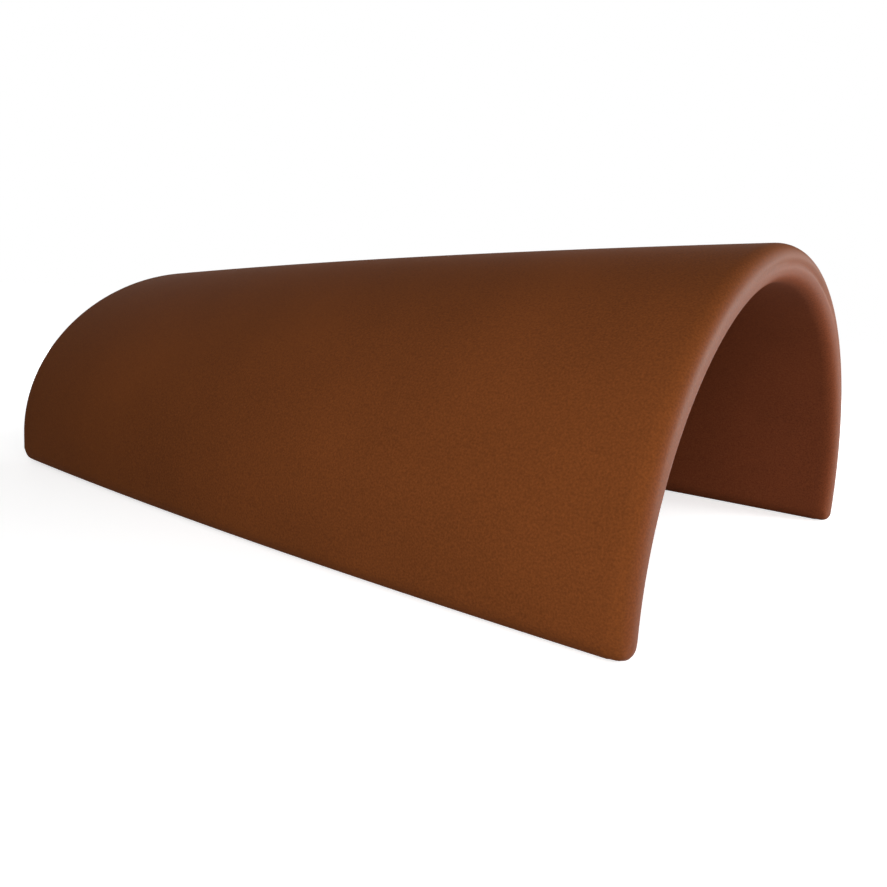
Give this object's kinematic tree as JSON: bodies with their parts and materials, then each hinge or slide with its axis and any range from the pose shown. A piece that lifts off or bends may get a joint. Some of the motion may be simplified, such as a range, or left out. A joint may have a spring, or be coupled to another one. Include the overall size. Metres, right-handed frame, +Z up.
{
  "type": "clay roof tile",
  "caption": "Tapered half-round clay roof tile with rounded rims, which caps a ridge or hip and overlaps its neighbour.",
  "frame": {"origin": "on the floor, under the middle of the tile's bounding box", "axes": "+X along the tile towards its wide end, +Y across it, +Z up towards the crown"},
  "size_m": [0.34, 0.247, 0.1237],
  "materials": {
    "fired_clay": "satin"
  },
  "bodies": {
    "root": {"tile_body": "fired_clay"}
  },
  "joints": []
}
